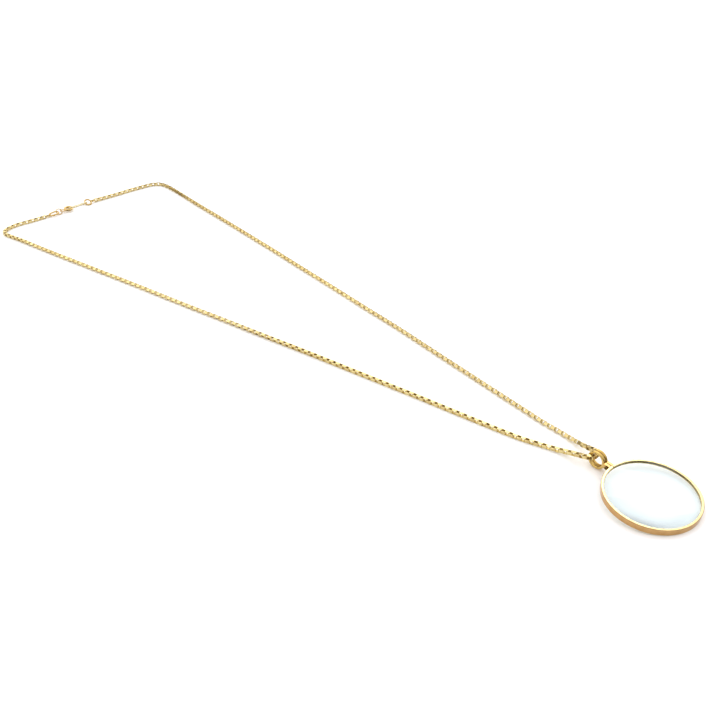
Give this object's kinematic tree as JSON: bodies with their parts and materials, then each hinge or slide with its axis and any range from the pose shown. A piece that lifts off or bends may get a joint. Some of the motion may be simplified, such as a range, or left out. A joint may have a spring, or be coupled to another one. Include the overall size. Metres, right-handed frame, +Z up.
{
  "type": "magnifier pendant necklace",
  "caption": "Round magnifying lens in a split polished rim with twin bail rings and a closing screw, on a long square box chain with a spring ring clasp, lying open.",
  "frame": {"origin": "middle of the laid-out necklace in plan, on the surface it lies on", "axes": "+X from the clasp end towards the lens, +Z up"},
  "size_m": [0.4496, 0.1324, 0.009],
  "materials": {
    "polished_gold": "polished gold plate",
    "pale_gold": "polished pale gold plate",
    "lens_glass": "clear polished"
  },
  "bodies": {
    "necklace": {"rim": "polished_gold", "rim_screw": "polished_gold", "lens": "lens_glass", "chain": "pale_gold", "near_end_ring": "polished_gold", "jump_ring": "polished_gold", "clasp_body": "polished_gold", "catch_ring": "pale_gold", "far_end_ring": "polished_gold"},
    "clasp_bolt": {"clasp_bolt": "pale_gold"}
  },
  "joints": [
    {"name": "clasp_opening", "type": "hinge", "parent": "necklace", "child": "clasp_bolt", "pos_m": [-0.22109, -0.01674, 0.0016], "axis": [0, 0, -1], "range_deg": [0, 58], "stiffness_Nm_per_rad": 0.001, "springref_deg": -20.05}
  ]
}
